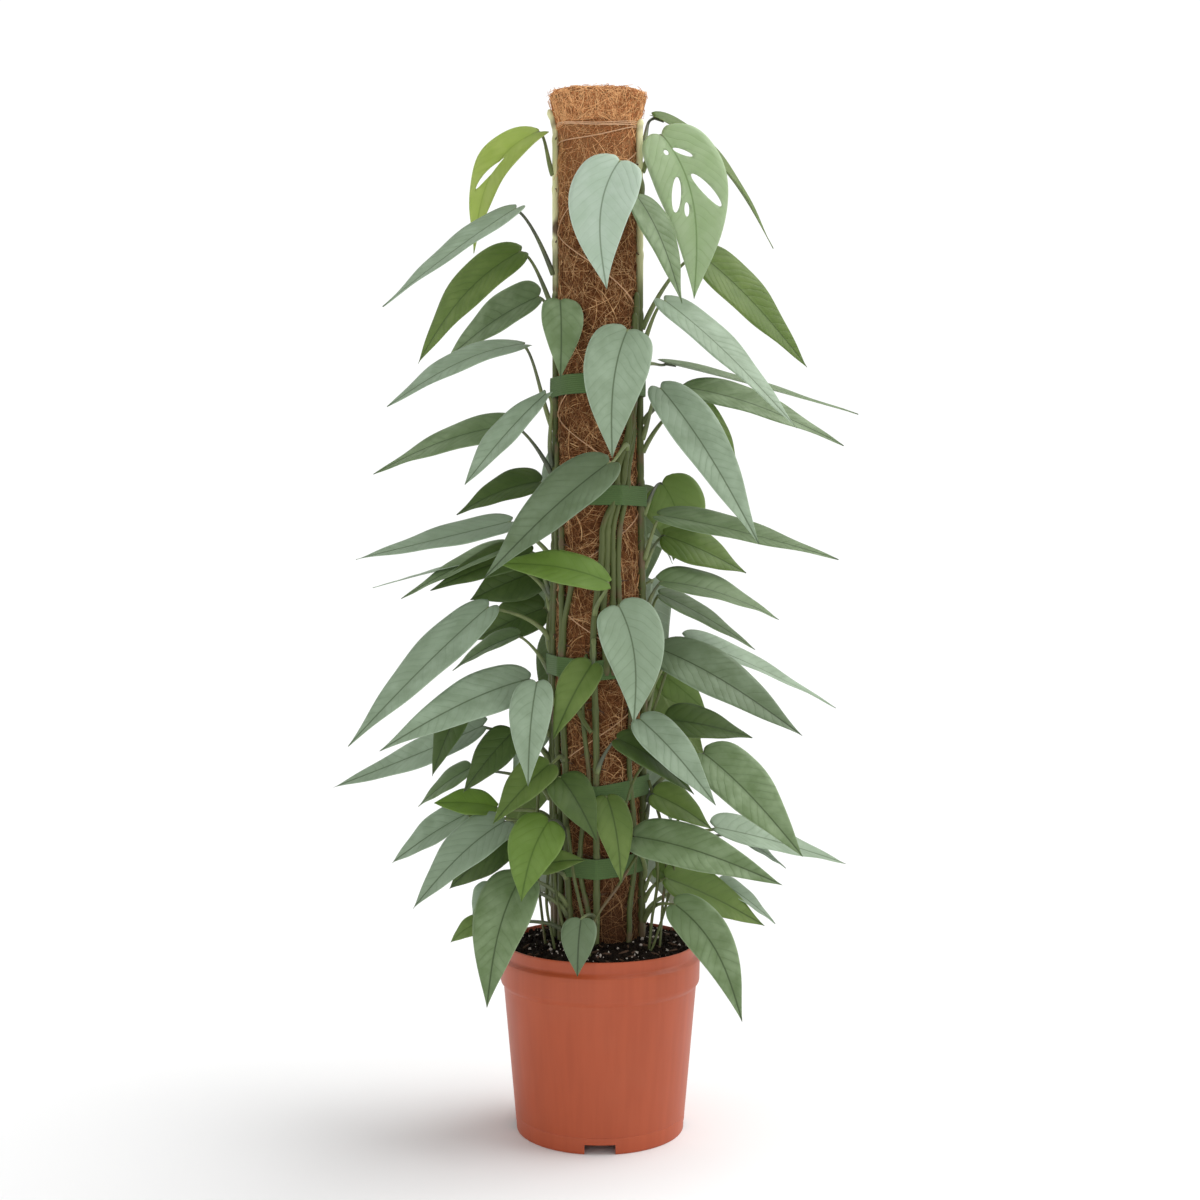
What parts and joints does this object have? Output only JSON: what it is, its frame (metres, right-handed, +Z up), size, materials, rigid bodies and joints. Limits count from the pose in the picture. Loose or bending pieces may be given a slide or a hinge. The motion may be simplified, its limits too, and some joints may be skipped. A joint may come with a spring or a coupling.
{
  "type": "potted cebu blue pothos on a coir pole",
  "caption": "Climbing aroid house plant with silvery blue-green lance-shaped leaves, tied to an upright coir pole in a round plastic nursery pot.",
  "frame": {"origin": "centre of the pot's underside, on the surface it stands on", "axes": "+Z up along the pot's axis and the pole; -Y towards the viewer of the picture; +X to the viewer's right"},
  "size_m": [0.523, 0.238, 0.9826],
  "materials": {
    "pot": "satin terracotta-coloured plastic",
    "soil": "damp dark potting mix with pale perlite grains",
    "wood": "rough pale wood",
    "coir": "matted coconut fibre",
    "twine": "dry natural twine",
    "tie": "matte woven plant tie",
    "stem": "smooth green stem",
    "leaf": "silvery satin leaf with darker veins"
  },
  "bodies": {
    "root": {"pot": "pot", "potting_soil": "soil", "core_stake": "wood", "coir_sleeve": "coir", "twine": "twine", "tie_1": "tie", "tie_2": "tie", "tie_3": "tie", "tie_4": "tie", "tie_5": "tie", "stem_left": "stem", "stem_right": "stem", "stem_front": "stem", "stem_front_left": "stem", "stem_back": "stem", "leaf_top_front": "leaf", "leaf_top_left": "leaf", "leaf_top_right": "leaf", "leaf_top_inner": "leaf", "leaf_top_back": "leaf", "leaf_left_1": "leaf", "leaf_left_2": "leaf", "leaf_left_3": "leaf", "leaf_left_4": "leaf", "leaf_left_5": "leaf", "leaf_left_6": "leaf", "leaf_left_7": "leaf", "leaf_left_8": "leaf", "leaf_left_9": "leaf", "leaf_left_10": "leaf", "leaf_right_1": "leaf", "leaf_right_2": "leaf", "leaf_right_3": "leaf", "leaf_right_4": "leaf", "leaf_right_5": "leaf", "leaf_right_6": "leaf", "leaf_right_7": "leaf", "leaf_right_8": "leaf", "leaf_right_9": "leaf", "leaf_right_10": "leaf", "leaf_right_11": "leaf", "leaf_right_12": "leaf", "leaf_right_13": "leaf", "leaf_front_1": "leaf", "leaf_front_2": "leaf", "leaf_front_3": "leaf", "leaf_front_4": "leaf", "leaf_front_5": "leaf", "leaf_front_6": "leaf", "leaf_front_7": "leaf", "leaf_front_8": "leaf", "leaf_front_9": "leaf", "leaf_front_10": "leaf", "leaf_front_11": "leaf", "leaf_front_12": "leaf", "leaf_low_left": "leaf", "leaf_low_right": "leaf", "leaf_low_front": "leaf", "leaf_back_1": "leaf", "leaf_back_2": "leaf"}
  },
  "joints": []
}
